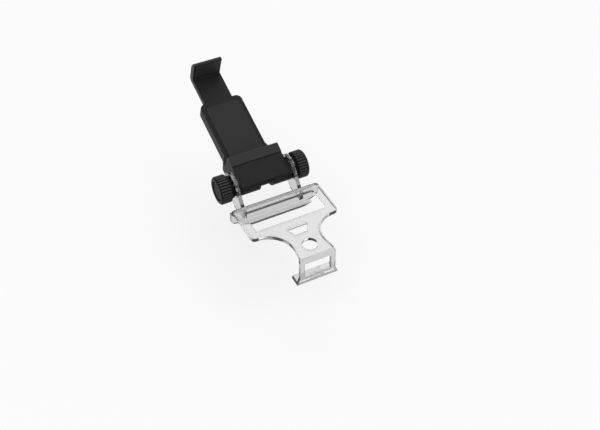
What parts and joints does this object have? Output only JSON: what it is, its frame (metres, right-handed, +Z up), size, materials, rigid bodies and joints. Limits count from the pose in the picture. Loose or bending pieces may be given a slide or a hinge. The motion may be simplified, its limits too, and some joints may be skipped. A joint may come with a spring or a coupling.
{
  "type": "controller phone clip",
  "caption": "Spring phone clamp on a tilting hinge, carried by a clear bracket that hooks over a game controller.",
  "frame": {"origin": "middle of the bracket's touchpad window, on the underside of the plate, where it lies on the controller", "axes": "+X to the player's right along the hinge, +Y away from the player, +Z up out of the controller's face"},
  "size_m": [0.0653, 0.1743, 0.0642],
  "materials": {
    "clear_plastic": "clear polished polycarbonate",
    "shell_plastic": "satin black moulded plastic",
    "slider_plastic": "satin black moulded plastic",
    "knob_plastic": "satin black moulded plastic, knurled",
    "jaw_rubber": "soft matte black rubber",
    "rest_rubber": "soft matte black rubber",
    "ring_rubber": "matte black rubber",
    "steel": "bright zinc-plated steel",
    "spring_steel": "bright spring wire",
    "black_steel": "black oxide steel"
  },
  "bodies": {
    "bracket": {"clear_bracket": "clear_plastic"},
    "clamp": {"clamp_front_shell": "shell_plastic", "clamp_back_cover": "shell_plastic", "lower_jaw_pad": "jaw_rubber", "backrest_pad": "rest_rubber", "spring_anchor_pin": "steel", "clamp_spring": "spring_steel", "cover_screws": "black_steel", "barrel_sleeve": "steel", "left_friction_ring": "ring_rubber", "right_friction_ring": "ring_rubber"},
    "slider": {"jaw_slider": "slider_plastic", "upper_jaw_pad": "jaw_rubber", "slider_spring_pin": "steel"},
    "bolt": {"pivot_bolt": "steel", "left_knob": "knob_plastic", "left_knob_cap": "knob_plastic", "left_washer": "steel"},
    "washer": {"right_washer": "steel"},
    "knob": {"right_knob": "knob_plastic", "right_knob_cap": "knob_plastic", "pivot_nut": "steel"}
  },
  "joints": [
    {"name": "tilt", "type": "hinge", "parent": "bracket", "child": "clamp", "pos_m": [0, 0.0335, 0.0054], "axis": [1, 0, 0], "range_deg": [-45, 100]},
    {"name": "jaw_slide", "type": "slide", "parent": "clamp", "child": "slider", "axis": [0, 0.9361, 0.3518], "range_m": [-0.019, 0.011], "stiffness_N_per_m": 120, "springref_m": -0.022, "deforming": ["clamp_spring"]},
    {"name": "bolt_turn", "type": "hinge", "parent": "bracket", "child": "bolt", "pos_m": [0, 0.0335, 0.0054], "axis": [1, 0, 0], "continuous": true},
    {"name": "right_knob_advance", "type": "slide", "parent": "bolt", "child": "washer", "axis": [1, 0, 0], "range_m": [0, 0.0014]},
    {"name": "right_knob_turn", "type": "hinge", "parent": "washer", "child": "knob", "pos_m": [0, 0.0335, 0.0054], "axis": [1, 0, 0], "range_deg": [0, 720]}
  ],
  "couplings": [
    {"joint": "right_knob_turn", "follows": "right_knob_advance", "rad_per_m": 8976}
  ]
}
